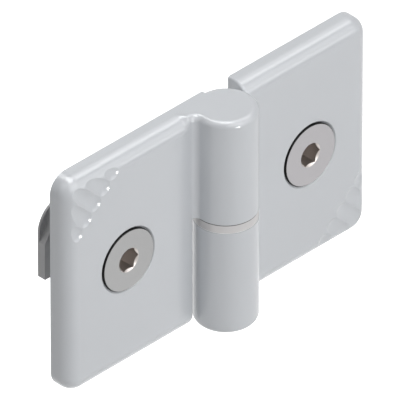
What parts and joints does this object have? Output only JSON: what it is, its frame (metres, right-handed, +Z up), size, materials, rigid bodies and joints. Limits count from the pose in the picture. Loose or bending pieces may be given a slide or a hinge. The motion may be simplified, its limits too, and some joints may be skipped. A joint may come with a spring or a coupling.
{
  "type": "lift off hinge",
  "caption": "Lift off hinge for slotted frames: flat die-cast leaves with screws and slot nuts, joined by a pin that the upper leaf lifts off.",
  "frame": {"origin": "centre of the lower leaf's screw hole in its mounting face, at the hinge's mid-height", "axes": "+X from the pin along the lower leaf, +Y out of the mounting faces towards the frame, +Z up along the pin, the way the upper leaf lifts off"},
  "size_m": [0.073, 0.0238, 0.0442],
  "materials": {
    "casting": "satin",
    "steel": "satin",
    "nut_steel": "matte"
  },
  "bodies": {
    "fixed_leaf": {"lower_leaf": "casting", "hinge_pin": "steel", "lower_leaf_screw": "steel", "lower_leaf_slot_nut": "nut_steel"},
    "washer": {"thrust_washer": "steel"},
    "lifting_leaf": {"upper_leaf": "casting", "upper_leaf_screw": "steel", "upper_leaf_slot_nut": "nut_steel"}
  },
  "joints": [
    {"name": "swing", "type": "hinge", "parent": "fixed_leaf", "child": "washer", "pos_m": [-0.022, -0.00575, 0], "axis": [0, 0, 1], "range_deg": [-80, 180]},
    {"name": "lift_off", "type": "slide", "parent": "washer", "child": "lifting_leaf", "axis": [0, 0, 1], "range_m": [0, 0.025]}
  ]
}
